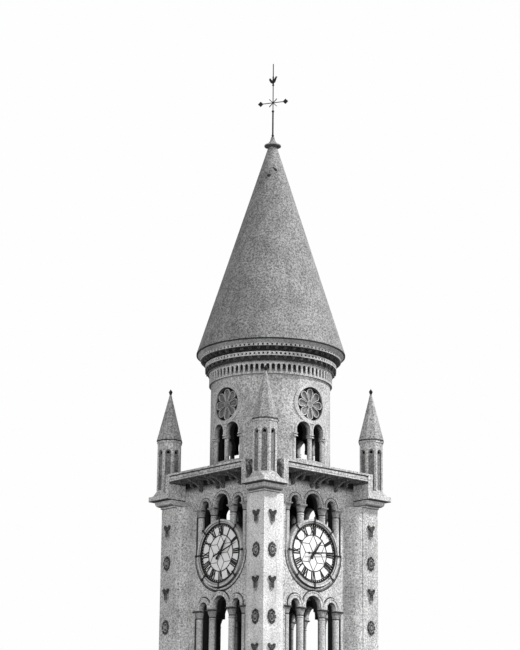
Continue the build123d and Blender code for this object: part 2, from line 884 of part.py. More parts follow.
far_out = 2 * drum_radius
with BuildPart() as drum_segment:
    drum_shell(deck_top, drum_height, drum_inner, drum_radius)
    with BuildSketch(Plane.XY.offset(deck_top)) as quarter:
        with BuildLine() as wedge:
            Polyline((0, 0), (far_out, -far_out), (-far_out, -far_out), close=True)
        make_face(wedge.edges())
    extrude(quarter.sketch, amount=drum_height, mode=Mode.INTERSECT)
    with BuildSketch(side_plane(0, drum_radius)) as lights:
        windows_shape(impost_top)
        with Locations((0, (window_sill + impost_top) / 2)):
            Rectangle(2 * window_edge, impost_top - window_sill)
    extrude(lights.sketch, amount=-2 * drum_thick, mode=Mode.SUBTRACT)
    with BuildSketch(side_plane(0, drum_radius)) as drum_nooks:
        with Locations((0, (window_sill + impost_top) / 2)):
            Rectangle(2 * drum_nook_edge, impost_top - window_sill)
    extrude(drum_nooks.sketch, amount=nook_back_out - drum_radius, mode=Mode.SUBTRACT)
    with BuildSketch(side_plane(0, drum_radius)) as recess:
        with Locations((0, rose_height)):
            Circle(rose_radius)
    extrude(recess.sketch, amount=-rose_depth, mode=Mode.SUBTRACT)

for side, turn in SIDES.items():
    save(turned(drum_segment, turn), f"{side}_drum")


def drum_column(along, out, width, depth):
    """Add one window column of the front drum segment, with its impost block."""
    impost_bottom = impost_top - impost_height
    with BuildSketch(Plane.XY.offset(window_sill)) as shaft:
        with Locations((along, -out)):
            Circle(drum_column_radius)
    extrude(shaft.sketch, amount=impost_bottom - window_sill)
    front = out + drum_column_radius
    with BuildSketch(Plane((along + width / 2, 0, 0), x_dir=(0, -1, 0), z_dir=(-1, 0, 0))) as block:
        with BuildLine() as edge:
            Polyline(
                (front - depth, impost_bottom),
                (front + impost_proud, impost_bottom),
                (front + impost_proud, impost_bottom + impost_fillet),
                (front, impost_bottom + impost_fillet),
                (front, impost_top - impost_fillet),
                (front + impost_proud, impost_top - impost_fillet),
                (front + impost_proud, impost_top),
                (front - depth, impost_top),
                close=True,
            )
        make_face(edge.edges())
    extrude(block.sketch, amount=width)


with BuildPart() as side_drum_columns:
    drum_column(0, middle_column_out, window_pier + 2 * impost_side, 2 * drum_column_diameter)
    for sign in (-1, 1):
        nook_block = drum_column_diameter + 2 * drum_nook_gap
        nook_block_depth = drum_column_diameter + drum_nook_gap
        drum_column(sign * drum_nook_x, nook_column_out, nook_block, nook_block_depth)
save(on_each_side(side_drum_columns), "drum_columns")


def petals_shape(radius):
    """Add a ring of petals to the sketch, each a circle drawn to a point at the middle."""
    touch = sqrt(petal_at**2 - radius**2)
    lean = asin(radius / petal_at)
    corner = (touch * cos(lean), touch * sin(lean))
    with PolarLocations(petal_at, rose_petals):
        Circle(radius)
    with PolarLocations(0, rose_petals):
        Polygon((0, 0), (corner[0], -corner[1]), corner, align=None)


petal_front = drum_radius - rose_depth + petal_thick
with BuildPart() as rose:
    with BuildSketch(side_plane(0, petal_front)):
        with Locations((0, rose_height)):
            petals_shape(petal_radius)
            Circle(rose_boss_radius)
    extrude(amount=-petal_thick)
    with BuildSketch(side_plane(0, petal_front)):
        with Locations((0, rose_height)):
            petals_shape(petal_radius - petal_rim)
            Circle(rose_boss_radius + petal_rim, mode=Mode.SUBTRACT)
    extrude(amount=-petal_sink, mode=Mode.SUBTRACT)
save(on_each_side(rose), "drum_roses")

with BuildPart() as mouldings:
    drum_shell(impost_top, drum_top - impost_top, drum_radius, drum_radius + drum_hood_proud)
    with BuildSketch(side_plane(0, 0)) as raised:
        with Locations((0, rose_height)):
            Circle(rose_radius + rose_ring_width)
            Circle(rose_radius, mode=Mode.SUBTRACT)
        windows_shape(impost_top, drum_hood_width)
        with BuildSketch(mode=Mode.PRIVATE) as glazed:
            windows_shape(impost_top)
        add(glazed.sketch, mode=Mode.SUBTRACT)
    extrude(raised.sketch, amount=far_out, mode=Mode.INTERSECT)
save(on_each_side(mouldings), "drum_mouldings")


# Cornice: arcaded band, two strips over recesses and the cavetto under the spire's eave
def ring_profile(points):
    with BuildSketch(Plane.XZ) as profile:
        with BuildLine():
            Polyline(*points, close=True)
        make_face()
    revolve(profile.sketch, axis=Axis.Z)


with BuildPart() as arch_band:
    ring_profile(
        [(drum_inner, drum_top), (band_radius, drum_top), (band_radius, band_top), (drum_inner, band_top)]
    )
save(arch_band, "arch_band")

with BuildPart() as tracery_arch:
    tracery_spring = band_top - tracery_head - tracery_arch_width / 2
    with BuildSketch(side_plane(0, tracery_radius)):
        arched_shape(0, tracery_arch_width, drum_top + tracery_foot, tracery_spring)
        with Locations((0, drum_top + tracery_foot / 2)):
            Rectangle(tracery_dot, tracery_dot)
    extrude(amount=2 * (band_radius - tracery_radius))

with BuildPart() as band_tracery:
    drum_shell(drum_top, band_height, band_radius, tracery_radius)
    with PolarLocations(0, tracery_arches):
        add(tracery_arch.part, mode=Mode.SUBTRACT)
save(band_tracery, "band_tracery")

upper_strip_back = upper_strip_radius - strip_thick
with BuildPart() as cornice_ring:
    ring_profile(
        [
            (drum_inner, band_top),
            (recess_radius, band_top),
            (recess_radius, upper_strip_bottom),
            (upper_strip_back, upper_strip_bottom),
            (upper_strip_back, upper_strip_top),
            (upper_strip_radius, upper_strip_top),
            (eave_radius - eave_overhang, eave_height),
            (drum_inner, eave_height),
        ]
    )
save(cornice_ring, "cornice_ring")


def pierced_strip(bottom, height, inner):
    """Add a round strip pierced with a row of square holes to the part being built."""
    drum_shell(bottom, height, inner, inner + strip_thick)
    with BuildPart(mode=Mode.PRIVATE) as hole:
        with BuildSketch(side_plane(0, inner + 2 * strip_thick)) as square:
            with Locations((0, bottom + height / 2)):
                Rectangle(strip_hole, strip_hole)
        extrude(square.sketch, amount=-3 * strip_thick)
    with PolarLocations(0, strip_holes):
        add(hole.part, mode=Mode.SUBTRACT)


with BuildPart() as cornice_strips:
    pierced_strip(lower_strip_bottom, lower_strip_height, recess_radius)
    pierced_strip(upper_strip_bottom, upper_strip_height, upper_strip_back)
save(cornice_strips, "cornice_strips")


# Conical spire, a shell, with its bell-shaped cap stone
spire_slope = (spire_height - eave_edge) / (eave_radius - spire_top_radius)
shell_width = spire_thick * sqrt(1 + 1 / spire_slope**2)
room_top = spire_top - spire_solid_top
with BuildPart() as spire:
    ring_profile(
        [
            (eave_radius + eave_edge / spire_slope - shell_width, eave_height),
            (eave_radius, eave_height),
            (eave_radius, eave_height + eave_edge),
            (spire_top_radius, spire_top),
            (0, spire_top),
            (0, room_top),
            (spire_top_radius + spire_solid_top / spire_slope - shell_width, room_top),
        ]
    )
save(spire, "spire")

with BuildPart() as cap_stone:
    with BuildSketch(Plane.XZ):
        with BuildLine():
            Polyline(
                (knob_radius, cap_stone_top),
                (0, cap_stone_top),
                (0, spire_top),
                (spire_top_radius, spire_top),
                (cap_stone_radius, cap_stone_rim - cap_stone_edge),
                (cap_stone_radius, cap_stone_rim),
            )
            RadiusArc((cap_stone_radius, cap_stone_rim), (knob_radius, cap_stone_top), cap_stone_bell)
        make_face()
    revolve(axis=Axis.Z)
save(cap_stone, "cap_stone")


# Mast with its cross and beads, and the weathercock that turns on it
def turned_to_cross(height):
    """An upright plane through the mast, along the arms of the cross."""
    angle = radians(cross_angle)
    return Plane((0, 0, height), x_dir=(cos(angle), sin(angle), 0), z_dir=(sin(angle), -cos(angle), 0))


with BuildPart() as mast:
    with BuildSketch(Plane.XY.offset(cap_stone_top)):
        Circle(mast_radius)
    extrude(amount=mast_step - cap_stone_top)
    with BuildSketch(Plane.XY.offset(mast_step)):
        Circle(mast_upper_radius)
    extrude(amount=mast_top - mast_step)
    with Locations((0, 0, cap_stone_top + knob_radius), (0, 0, mast_step)):
        Sphere(bead_radius)
    with BuildSketch(Plane.XY.offset(vane_rest - vane_gap)):
        Circle(vane_collar_radius)
    extrude(amount=-vane_collar_height)
    with BuildSketch(turned_to_cross(cross_height)):
        Rectangle(2 * (cross_reach - cross_leaf), cross_bar)
        for sign in (-1, 1):
            with Locations((sign * (cross_reach - cross_leaf), 0)):
                RegularPolygon(cross_leaf, 4)
        for slant in (-45, 45):
            Rectangle(2 * cross_ray, cross_bar, rotation=slant)
        Circle(bead_radius)
    extrude(amount=cross_bar / 2, both=True)
save(mast, "mast")

with BuildPart() as weathercock:
    with BuildSketch(Plane.XY.offset(vane_rest)):
        Circle(vane_sleeve_radius)
    extrude(amount=vane_sleeve_height)
    with BuildSketch(Plane.XZ):
        with BuildLine():
            back = Spline(
                (-0.50 * vane_length, vane_rest + 0.80 * vane_sleeve_height),
                (-0.38 * vane_length, vane_rest + 0.95 * vane_sleeve_height),
                (-0.22 * vane_length, vane_rest + 0.72 * vane_sleeve_height),
                (0.02 * vane_length, vane_rest + 0.58 * vane_sleeve_height),
                (0.22 * vane_length, vane_rest + 0.80 * vane_sleeve_height),
                (0.34 * vane_length, vane_rest + 0.92 * vane_sleeve_height),
            )
            beak = Line(back @ 1, (0.50 * vane_length, vane_rest + 0.80 * vane_sleeve_height))
            breast = Spline(
                beak @ 1,
                (0.38 * vane_length, vane_rest + 0.62 * vane_sleeve_height),
                (0.24 * vane_length, vane_rest + 0.30 * vane_sleeve_height),
                (0.00 * vane_length, vane_rest + 0.18 * vane_sleeve_height),
                (-0.22 * vane_length, vane_rest + 0.30 * vane_sleeve_height),
                (-0.38 * vane_length, vane_rest + 0.52 * vane_sleeve_height),
            )
            Line(breast @ 1, back @ 0)
        make_face()
    extrude(amount=vane_thick / 2, both=True)
    with BuildSketch(Plane.XY.offset(vane_rest)):
        Circle(mast_upper_radius + vane_fit)
    extrude(amount=vane_sleeve_height, mode=Mode.SUBTRACT)
save(weathercock, "weathercock")
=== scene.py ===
import json
from math import cos, radians, sin, sqrt, tau

import bmesh
import bpy
from mathutils import Matrix, Vector


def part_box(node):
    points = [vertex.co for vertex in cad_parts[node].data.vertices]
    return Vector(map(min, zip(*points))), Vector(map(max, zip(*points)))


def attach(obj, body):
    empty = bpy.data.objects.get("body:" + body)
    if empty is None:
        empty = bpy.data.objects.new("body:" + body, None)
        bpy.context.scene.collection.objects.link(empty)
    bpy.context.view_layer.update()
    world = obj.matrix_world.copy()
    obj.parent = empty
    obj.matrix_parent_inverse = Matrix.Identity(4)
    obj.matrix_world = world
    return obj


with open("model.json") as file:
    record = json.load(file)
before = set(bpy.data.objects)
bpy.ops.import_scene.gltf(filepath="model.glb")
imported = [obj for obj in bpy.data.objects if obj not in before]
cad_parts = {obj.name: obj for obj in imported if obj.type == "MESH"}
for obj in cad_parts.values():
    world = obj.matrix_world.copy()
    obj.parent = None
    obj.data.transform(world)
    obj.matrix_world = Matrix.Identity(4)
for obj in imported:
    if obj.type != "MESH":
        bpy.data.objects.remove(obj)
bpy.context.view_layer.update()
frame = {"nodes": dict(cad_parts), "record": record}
nodes = frame["nodes"]
record = frame["record"]
SIDES = (0, 90, 180, 270)
BODY = "tower"
joints = {joint["name"]: joint for joint in record["behaviour"]["joints"]}
dial_height = joints["front_minute_turn"]["pos_m"][2]


# Camera: the photograph's own view, solved from its level and upright edges
image_width, image_height = 520, 650
camera_azimuth = radians(47.698)
camera_distance = 84.665
camera_eye = 1.6
camera_pitch = radians(15.273)
camera_roll = radians(0.501)
focal_pixels = 1979.1
centre_pixel_x = 271.107
sensor = 36.0
clip_end = 500


def add_camera():
    """Stand the camera at eye height and tilt it up at the tower."""
    data = bpy.data.cameras.new("camera")
    data.sensor_width = sensor
    data.lens = focal_pixels / image_height * sensor
    data.shift_x = (image_width / 2 - centre_pixel_x) / image_height
    data.clip_end = clip_end
    camera = bpy.data.objects.new("camera", data)
    ahead = Vector((-sin(camera_azimuth), cos(camera_azimuth), 0))
    level_right = Vector((cos(camera_azimuth), sin(camera_azimuth), 0))
    forward = ahead * cos(camera_pitch) + Vector((0, 0, sin(camera_pitch)))
    upward = level_right.cross(forward)
    right = level_right * cos(camera_roll) + upward * sin(camera_roll)
    up = upward * cos(camera_roll) - level_right * sin(camera_roll)
    turn = Matrix((right, up, -forward)).transposed().to_4x4()
    place = Vector((0, 0, camera_eye)) - ahead * camera_distance
    camera.matrix_world = Matrix.Translation(place) @ turn
    bpy.context.collection.objects.link(camera)
    bpy.context.scene.camera = camera


# Materials: every one is built from noise and measures on object coordinates
blotch_from, blotch_full = 0.35, 0.6


class Maker:
    """A short way to add and link shader nodes."""

    def __init__(self, name):
        self.material = bpy.data.materials.new(name)
        self.material.use_nodes = True
        self.tree = self.material.node_tree
        self.shader = self.tree.nodes["Principled BSDF"]
        self.coords = self.add("ShaderNodeTexCoord").outputs["Object"]

    def add(self, kind, **settings):
        node = self.tree.nodes.new(kind)
        for key, value in settings.items():
            setattr(node, key, value)
        return node

    def link(self, source, target):
        self.tree.links.new(source, target)

    def split(self, vector):
        node = self.add("ShaderNodeSeparateXYZ")
        self.link(vector, node.inputs[0])
        return node.outputs["X"], node.outputs["Y"], node.outputs["Z"]

    def noise(self, scale, detail=2.0, stretch=None):
        """Noise from 0 to 1; stretch squeezes the pattern along X, Y and Z."""
        texture = self.add("ShaderNodeTexNoise")
        texture.inputs["Scale"].default_value = scale
        texture.inputs["Detail"].default_value = detail
        source = self.coords
        if stretch:
            mapping = self.add("ShaderNodeMapping")
            mapping.inputs["Scale"].default_value = stretch
            self.link(source, mapping.inputs["Vector"])
            source = mapping.outputs["Vector"]
        self.link(source, texture.inputs["Vector"])
        return texture.outputs["Fac"]

    def math(self, kind, first, second=None, clamp=False):
        node = self.add("ShaderNodeMath", operation=kind, use_clamp=clamp)
        for socket, value in zip(node.inputs, (first, second)):
            if value is None:
                continue
            if isinstance(value, (int, float)):
                socket.default_value = value
            else:
                self.link(value, socket)
        return node.outputs[0]

    def fade(self, value, start, end):
        """Nothing at the start value, one at the end value and beyond it."""
        slope = 1 / (end - start)
        return self.math("ADD", self.math("MULTIPLY", value, slope), -start * slope, clamp=True)

    def over(self, value, limit):
        return self.math("GREATER_THAN", value, limit)

    def under(self, value, limit):
        return self.math("LESS_THAN", value, limit)

    def between(self, value, low, high):
        return self.math("MULTIPLY", self.over(value, low), self.under(value, high))

    def distance(self, across, up):
        """How far two offsets at right angles reach together."""
        squares = self.math("MULTIPLY", across, across), self.math("MULTIPLY", up, up)
        return self.math("SQRT", self.math("ADD", *squares))

    def noise_mask(self, scale):
        """Soft blotches, from none to one."""
        return self.fade(self.noise(scale, detail=4.0), blotch_from, blotch_full)

    def ramp(self, factor, low, high, low_grey, high_grey):
        """Greys between two noise values."""
        node = self.add("ShaderNodeValToRGB")
        node.color_ramp.elements[0].position = low
        node.color_ramp.elements[1].position = high
        node.color_ramp.elements[0].color = (*low_grey, 1)
        node.color_ramp.elements[1].color = (*high_grey, 1)
        self.link(factor, node.inputs["Fac"])
        return node.outputs["Color"]

    def mix(self, factor, first, second, blend="MIX"):
        node = self.add("ShaderNodeMix", data_type="RGBA", blend_type=blend)
        sockets = node.inputs[0], node.inputs[6], node.inputs[7]
        for socket, value in zip(sockets, (factor, first, second)):
            if isinstance(value, (int, float)):
                socket.default_value = value
            elif isinstance(value, tuple):
                socket.default_value = (*value, 1)
            else:
                self.link(value, socket)
        return node.outputs[2]

    def bump(self, height, distance, strength=1.0):
        node = self.add("ShaderNodeBump")
        node.inputs["Distance"].default_value = distance
        node.inputs["Strength"].default_value = strength
        self.link(height, node.inputs["Height"])
        self.link(node.outputs["Normal"], self.shader.inputs["Normal"])


# Painted shade, with blotches of grime on the cheeks: its own grey, and how much of it covers the
# stone where it is thickest
shade_and_stain_grey = 0.010
shade_and_grime_cover = 0.985

# Where the painted shade lies, in metres: heights, and distances out from the middle or along a
# side
# Inside the rooms, the lights and the drum
deck_level = 17.81
room_light_edge, room_dark_edge = 2.68, 2.50
window_light_edge, window_dark_edge, window_heads = 2.54, 2.38, 19.95
drum_light_edge, drum_dark_edge, drum_top = 2.36, 2.30, 23.6

# Rose windows: the slots, the sunk petals and the boss
rose_middle, rose_half, rose_boss = 20.701, 0.735, 0.14
rose_slot_out, rose_panel_out = 2.468, 2.50

# Gallery: under the deck, on its mouldings, on the inner sides of the cheeks and on the pier caps
gallery_soot_from, gallery_soot_to = 17.02, 17.30
gallery_wall_out, gallery_end = 2.80, 2.34
GALLERY_LINES = (((17.69, 17.738), 0.85), ((17.557, 17.585), 0.6), ((17.40, 17.49), 0.8))
cheek_side, cheek_from, cheek_blotches = (2.597, 2.604), 16.97, 6.0
cap_in = 2.38
CAP_LINES = (((16.735, 16.785), 0.95), ((16.50, 16.53), 0.85), ((16.42, 16.445), 0.7))

# Cornice recesses and the arcaded band
cornice_from, lower_recess_out = 22.39, 2.84
upper_strip_from, upper_recess_out = 22.97, 3.03
band_from, band_heads, band_wall_out = 21.87, 22.10, 2.645

# Turrets: the sunk panels and the vents in them
turret_middle = 3.112
turret_panel_out, turret_vent_out = 0.475, 0.44
turret_from, turret_to = 17.2, 19.36

# Arcades: hoods, nooks, abaci and cushion capitals
wall_face = 2.775
middle_radius, side_radius, side_middle = 0.445, 0.245, 1.04
belfry_spring, belfry_abacus, belfry_hoods_to, belfry_nook_foot = 12.032, 11.937, 13.0, 8.51
clock_spring, clock_abacus, clock_hoods_to = 16.348, 16.253, 17.0
hood_width, hood_line = 0.175, 0.055
upper_hood_width, upper_hood_line = 0.10, 0.04
nook_from, nook_to = 1.53, 1.6
cushion_drop, cushion_foot, neck_foot, abacus_from = 0.07, 0.31, 0.36, 2.2

# Round the dial: the roll's two edges, the step of the ring and half the width of its line
roll_inner, roll_outer, ring_step, ring_line = 1.42, 1.595, 1.33, 0.012

# Faces that look down
underside_from, underside_full = 0.35, 0.85


def painted_shade_and_grime(make):
    """How much painted shade covers a point, from none to one, with blotches of grime on the
    cheeks.
    """
    x, y, z = make.split(make.coords)
    wide, deep = make.math("ABSOLUTE", x), make.math("ABSOLUTE", y)
    square = make.math("MAXIMUM", wide, deep)
    along = make.math("MINIMUM", wide, deep)
    reach = make.distance(x, y)
    layers = []

    def layer(strength, *masks):
        """Painted shade of one strength where all the masks meet."""
        total = masks[0]
        for mask in masks[1:]:
            total = make.math("MULTIPLY", total, mask)
        layers.append(make.math("MULTIPLY", total, strength))

    def line_round(ring, start, width):
        return make.between(ring, start, start + width)

    below_deck = make.under(z, deck_level)
    above_deck = make.over(z, deck_level)
    # Painted shade inside the rooms, the lights and the drum
    in_windows = make.fade(reach, window_light_edge, window_dark_edge)
    in_drum = make.fade(reach, drum_light_edge, drum_dark_edge)
    layer(1.0, make.fade(square, room_light_edge, room_dark_edge), below_deck)
    layer(1.0, in_windows, above_deck, make.under(z, window_heads))
    layer(1.0, in_drum, above_deck, make.under(z, drum_top))

    # Painted shade in the rose's slots, on its sunk petals and on its boss
    rose_ring = make.distance(along, make.math("SUBTRACT", z, rose_middle))
    in_rose = make.under(rose_ring, rose_half)
    layer(0.97, in_rose, above_deck, make.under(square, rose_slot_out))
    layer(0.62, in_rose, above_deck, make.under(square, rose_panel_out))
    layer(0.6, make.under(rose_ring, rose_boss), above_deck)

    # Painted shade under the gallery, and painted shadow lines along its mouldings and the pier
    # caps
    under_gallery = make.fade(z, gallery_soot_from, gallery_soot_to)
    on_gallery = make.over(square, gallery_wall_out), make.under(along, gallery_end)
    on_cheek = make.between(along, *cheek_side), make.over(z, cheek_from)
    layer(1.0, under_gallery, below_deck, make.under(square, gallery_wall_out))
    for line, strength in GALLERY_LINES:
        layer(strength, make.between(z, *line), *on_gallery)
    for line, strength in CAP_LINES:
        layer(strength, make.between(z, *line), make.over(along, cap_in))
    # The cheeks' inner sides below the deck: painted shade, in blotches of grime
    layer(0.85, *on_cheek, below_deck, make.noise_mask(cheek_blotches))

    # Painted shade in the cornice recesses and the arcaded band
    in_band = make.fade(z, band_from, band_heads)
    layer(0.95, make.between(z, cornice_from, drum_top), make.under(reach, lower_recess_out))
    layer(0.95, make.between(z, upper_strip_from, drum_top), make.under(reach, upper_recess_out))
    layer(1.0, in_band, make.under(z, drum_top), make.under(reach, band_wall_out))

    # Painted shade in the turrets' sunk panels and vents
    from_turret_x = make.math("ABSOLUTE", make.math("SUBTRACT", wide, turret_middle))
    from_turret_y = make.math("ABSOLUTE", make.math("SUBTRACT", deep, turret_middle))
    slant = make.math("MULTIPLY", make.math("ADD", from_turret_x, from_turret_y), sqrt(0.5))
    octagon = make.math("MAXIMUM", make.math("MAXIMUM", from_turret_x, from_turret_y), slant)
    on_turret = make.between(z, turret_from, turret_to)
    layer(0.62, on_turret, make.under(octagon, turret_panel_out))
    layer(1.0, on_turret, make.under(octagon, turret_vent_out))

    # Painted shadow lines round the hoods and the dial's roll, painted shade in the nooks and on
    # the capitals
    on_wall = make.under(square, wall_face)
    side_offset = make.math("SUBTRACT", along, side_middle)
    belfry_heads = make.between(z, belfry_abacus, belfry_hoods_to)
    clock_heads = make.between(z, clock_abacus, clock_hoods_to)
    above_belfry = make.math("SUBTRACT", z, belfry_spring)
    above_clock = make.math("SUBTRACT", z, clock_spring)
    for offset, radius in ((along, middle_radius), (side_offset, side_radius)):
        ring, upper_ring = make.distance(offset, above_belfry), make.distance(offset, above_clock)
        hood = line_round(ring, radius + hood_width, hood_line)
        upper_hood = line_round(upper_ring, radius + upper_hood_width, upper_hood_line)
        layer(0.95, hood, belfry_heads, on_wall)
        layer(0.8, upper_hood, clock_heads, on_wall)

    dial_ring = make.distance(along, make.math("SUBTRACT", z, dial_height))
    below_dial = make.under(z, dial_height)
    for roll_edge in (roll_inner, roll_outer):
        layer(0.95, line_round(dial_ring, roll_edge, hood_line), below_dial, on_wall)
    step_line = line_round(dial_ring, ring_step - ring_line, 2 * ring_line)
    layer(0.5, step_line, make.over(square, wall_face))

    in_nook = make.between(along, nook_from, nook_to)
    near_columns = make.under(along, nook_to)
    for foot, top in ((belfry_nook_foot, belfry_abacus), (dial_height, clock_abacus)):
        cushion_top, cushion_bottom = top - cushion_drop, top - cushion_foot
        layer(0.85, in_nook, make.between(z, foot, cushion_bottom), on_wall)
        layer(0.9, make.between(z, cushion_top, top), near_columns, make.over(square, abacus_from))
        layer(0.45, make.between(z, cushion_bottom, cushion_top), near_columns, on_wall)
        layer(0.9, make.between(z, top - neck_foot, cushion_bottom), near_columns, on_wall)

    # Painted shade on faces that look down
    normal_z = make.split(make.add("ShaderNodeNewGeometry").outputs["True Normal"])[2]
    looks_down = make.math("MULTIPLY", normal_z, -1.0)
    layer(0.85, make.fade(looks_down, underside_from, underside_full))

    total = layers[0]
    for other in layers[1:]:
        total = make.math("MAXIMUM", total, other)
    return total


# A dark line of painted shade at the foot of the spires
foot_line, foot_overlap, foot_shade = 0.05, 0.01, 0.92

# Marks on the spire that the photo shows: a small hole, painted as a dark spot of shade, and a
# longer dark scar, as (place, radius)
SPIRE_MARKS = (
    ((0.387, -0.574, 31.5), 0.105),
    ((0.44, -0.35, 31.913), 0.045),
    ((0.485, -0.315, 31.855), 0.065),
    ((0.53, -0.279, 31.798), 0.085),
)
mark_core, mark_cover = 0.7, 0.9


def grey(value, warm=0.0):
    """A grey, a little warmer where warm is above nothing."""
    return (value * (1 + warm), value, value * (1 - warm))


# Rough cast: fine grain and pits as multiples of the coarse scale, and the share of each layer
fine_scale, pit_scale = 2.3, 1.4
coarse_share, fine_share, streak_share = 0.55, 0.45, 0.9
speckle_low, speckle_high = 0.40, 0.60
patch_scale, streak_scale, streak_stretch = 0.9, 2.6, (1.0, 1.0, 0.12)
# Between two noise values, the greys that darken the stone
PITS = (0.24, 0.34, grey(0.45), grey(1.0))
PATCHES = (0.35, 0.68, grey(0.74), grey(1.0))
STREAKS = (0.52, 0.78, grey(1.0), grey(0.66))


def masonry(name, dark, light, grain_scale, grain_depth, with_shade_and_grime=True, foot=None, marks=()):
    """Rough cast stonework: coarse and fine grain, pits, rain streaks, patches of grime and painted
    shade.
    """
    make = Maker(name)
    coarse = make.noise(grain_scale, detail=2.0)
    fine = make.noise(grain_scale * fine_scale, detail=1.0)
    shares = make.math("MULTIPLY", coarse, coarse_share), make.math("MULTIPLY", fine, fine_share)
    speckle = make.math("ADD", *shares)
    pits = make.ramp(make.noise(grain_scale * pit_scale, detail=0.0), *PITS)
    patches = make.ramp(make.noise(patch_scale, detail=5.0), *PATCHES)
    streaks = make.ramp(make.noise(streak_scale, detail=4.0, stretch=streak_stretch), *STREAKS)
    colour = make.ramp(speckle, speckle_low, speckle_high, grey(dark), grey(light))
    for share, layer in ((1.0, pits), (1.0, patches), (streak_share, streaks)):
        colour = make.mix(share, colour, layer, blend="MULTIPLY")
    # Painted shade, with blotches of grime on the cheeks
    if with_shade_and_grime:
        colour = make.mix(make.math("MULTIPLY", painted_shade_and_grime(make), shade_and_grime_cover), colour, grey(shade_and_stain_grey))
    # A painted shade line at the spire's foot
    if foot:
        at_foot = make.between(make.split(make.coords)[2], foot - foot_overlap, foot + foot_line)
        colour = make.mix(make.math("MULTIPLY", at_foot, foot_shade), colour, grey(shade_and_stain_grey))
    # The hole is a painted dark spot of shade; the scar is a dark mark
    for place, radius in marks:
        offset = make.add("ShaderNodeVectorMath", operation="DISTANCE")
        make.link(make.coords, offset.inputs[0])
        offset.inputs[1].default_value = place
        spot = make.fade(offset.outputs["Value"], radius, radius * mark_core)
        colour = make.mix(make.math("MULTIPLY", spot, mark_cover), colour, grey(shade_and_stain_grey))
    make.link(colour, make.shader.inputs["Base Color"])
    make.shader.inputs["Roughness"].default_value = 0.92
    make.shader.inputs["Specular IOR Level"].default_value = 0.15
    make.bump(speckle, grain_depth)
    return make.material


def ironwork(name):
    """Black paint, worn a little and finely pitted."""
    make = Maker(name)
    wear = make.noise(9.0, detail=4.0)
    colour = make.ramp(wear, 0.35, 0.75, grey(0.006), grey(0.022, 0.08))
    make.link(colour, make.shader.inputs["Base Color"])
    make.link(make.ramp(wear, 0.3, 0.8, grey(0.55), grey(0.8)), make.shader.inputs["Roughness"])
    make.shader.inputs["Specular IOR Level"].default_value = 0.2
    make.bump(make.noise(60.0), distance=0.002, strength=0.5)
    return make.material


def opal(name):
    """Milky glass with clouds and a little dust."""
    make = Maker(name)
    cloud = make.noise(1.6, detail=4.0)
    colour = make.ramp(cloud, 0.3, 0.7, grey(0.76), grey(0.84))
    dust = make.ramp(make.noise(14.0, detail=3.0), 0.45, 0.8, grey(1.0), grey(0.9))
    make.link(make.mix(1.0, colour, dust, blend="MULTIPLY"), make.shader.inputs["Base Color"])
    make.shader.inputs["Roughness"].default_value = 0.35
    make.bump(make.noise(5.0), distance=0.004, strength=0.4)
    return make.material


def oak(name):
    """Dark oak with its grain upright."""
    make = Maker(name)
    boards = make.noise(3.0, detail=5.0, stretch=(7.0, 7.0, 0.4))
    colour = make.ramp(boards, 0.3, 0.7, (0.05, 0.04, 0.03), (0.13, 0.1, 0.08))
    make.link(colour, make.shader.inputs["Base Color"])
    make.shader.inputs["Roughness"].default_value = 0.7
    make.bump(boards, distance=0.006)
    return make.material


def dress(name, look):
    """Give one node of the part a material."""
    materials = nodes[name].data.materials
    materials.clear()
    materials.append(look)


def dress_nodes():
    """Give every node the material of its slot, and a few nodes a grey of their own, the brackets a
    dark one that paints their shade.
    """
    spire_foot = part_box("spire")[0][2]
    turret_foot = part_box("turret_spires")[0][2]
    # Each stone's numbers: its darkest and lightest grey, and the scale and depth of its grain
    looks = {
        "render": masonry("render", 0.30, 0.78, 13.0, 0.022),
        "dressed_stone": masonry("dressed_stone", 0.38, 0.76, 16.0, 0.010),
        "roof": masonry(
            "roof", 0.15, 0.44, 12.0, 0.018, with_shade_and_grime=False, foot=spire_foot, marks=SPIRE_MARKS
        ),
        "iron": ironwork("iron"),
        "opal_glass": opal("opal_glass"),
        "oak": oak("oak"),
        "floor": masonry("floor", 0.1, 0.28, 6.0, 0.006, with_shade_and_grime=False),
        # relief_dark and relief_pale: a dark and a middle copy of one stone that paint the shade of
        # the carvings, abaci and corbels
        "relief_dark": masonry("relief_dark", 0.02, 0.13, 15.0, 0.008, with_shade_and_grime=False),
        "relief_pale": masonry("relief_pale", 0.18, 0.48, 15.0, 0.008, with_shade_and_grime=False),
    }
    for part in record["subparts"]:
        dress(part["node"], looks[part["material_slot"]])
    # The brackets under the deck: a dark copy of the stone, painted shade
    dress("gallery_brackets", masonry("shaded_bracket_stone", 0.03, 0.20, 16.0, 0.010, with_shade_and_grime=False))
    dress("cap_stone", masonry("cap_stone", 0.17, 0.42, 16.0, 0.010))
    # The near corner pier gets a paler copy of the render
    dress("front_right_pier", masonry("pale_pier_render", 0.56, 0.88, 13.0, 0.016))
    turret_roof = masonry("turret_roof", 0.20, 0.56, 13.0, 0.016, with_shade_and_grime=False, foot=turret_foot)
    dress("turret_spires", turret_roof)
    return looks


# Helpers for pieces made in mesh code
weld_distance = 1e-5
bevel_segments = 2


def on_side(turn, out, along=0.0, height=0.0):
    """Local X along one side of the tower, Y up and Z outward."""
    angle = radians(turn)
    side = Vector((cos(angle), sin(angle), 0))
    outward = Vector((sin(angle), -cos(angle), 0))
    turn_matrix = Matrix((side, Vector((0, 0, 1)), outward)).transposed().to_4x4()
    place = outward * out + side * along + Vector((0, 0, height))
    return Matrix.Translation(place) @ turn_matrix


